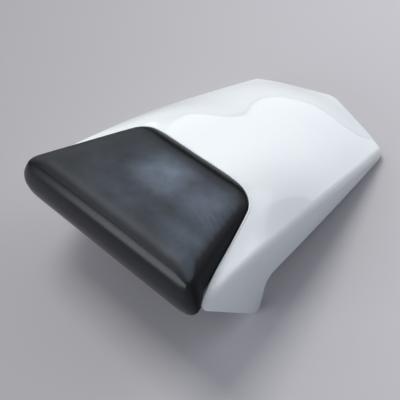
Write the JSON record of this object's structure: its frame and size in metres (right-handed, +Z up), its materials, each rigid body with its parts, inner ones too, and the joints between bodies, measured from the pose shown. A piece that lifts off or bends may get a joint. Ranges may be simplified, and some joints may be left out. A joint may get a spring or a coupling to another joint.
{
  "type": "seat cowl",
  "caption": "Gloss white wedge-shaped seat cowl for the rear of a motorbike, with side fins, a chevron tail and a black moulded bump pad in a pocket at the front.",
  "frame": {"origin": "centre of the footprint, on the surface it stands on", "axes": "+X to the rider's right when the cowl is seen from the front, +Y to the tail, +Z up"},
  "size_m": [0.2332, 0.3864, 0.1401],
  "materials": {
    "white_gloss": "gloss white paint under clear lacquer",
    "black_pad": "satin moulded skin with fine grain",
    "nylon": "natural nylon",
    "zinc_steel": "bright zinc plate",
    "black_steel": "satin black",
    "brass": "turned",
    "black_rubber": "matte"
  },
  "bodies": {
    "root": {"cowl_shell": "white_gloss", "bump_pad": "black_pad", "pad_anchors": "nylon", "pad_screws": "zinc_steel", "pad_washers": "zinc_steel", "latch_plate": "black_steel", "latch_loop": "zinc_steel", "tail_tongue": "black_steel", "boss_inserts": "brass", "plate_bolts": "zinc_steel", "rubber_buffers": "black_rubber"}
  },
  "joints": []
}
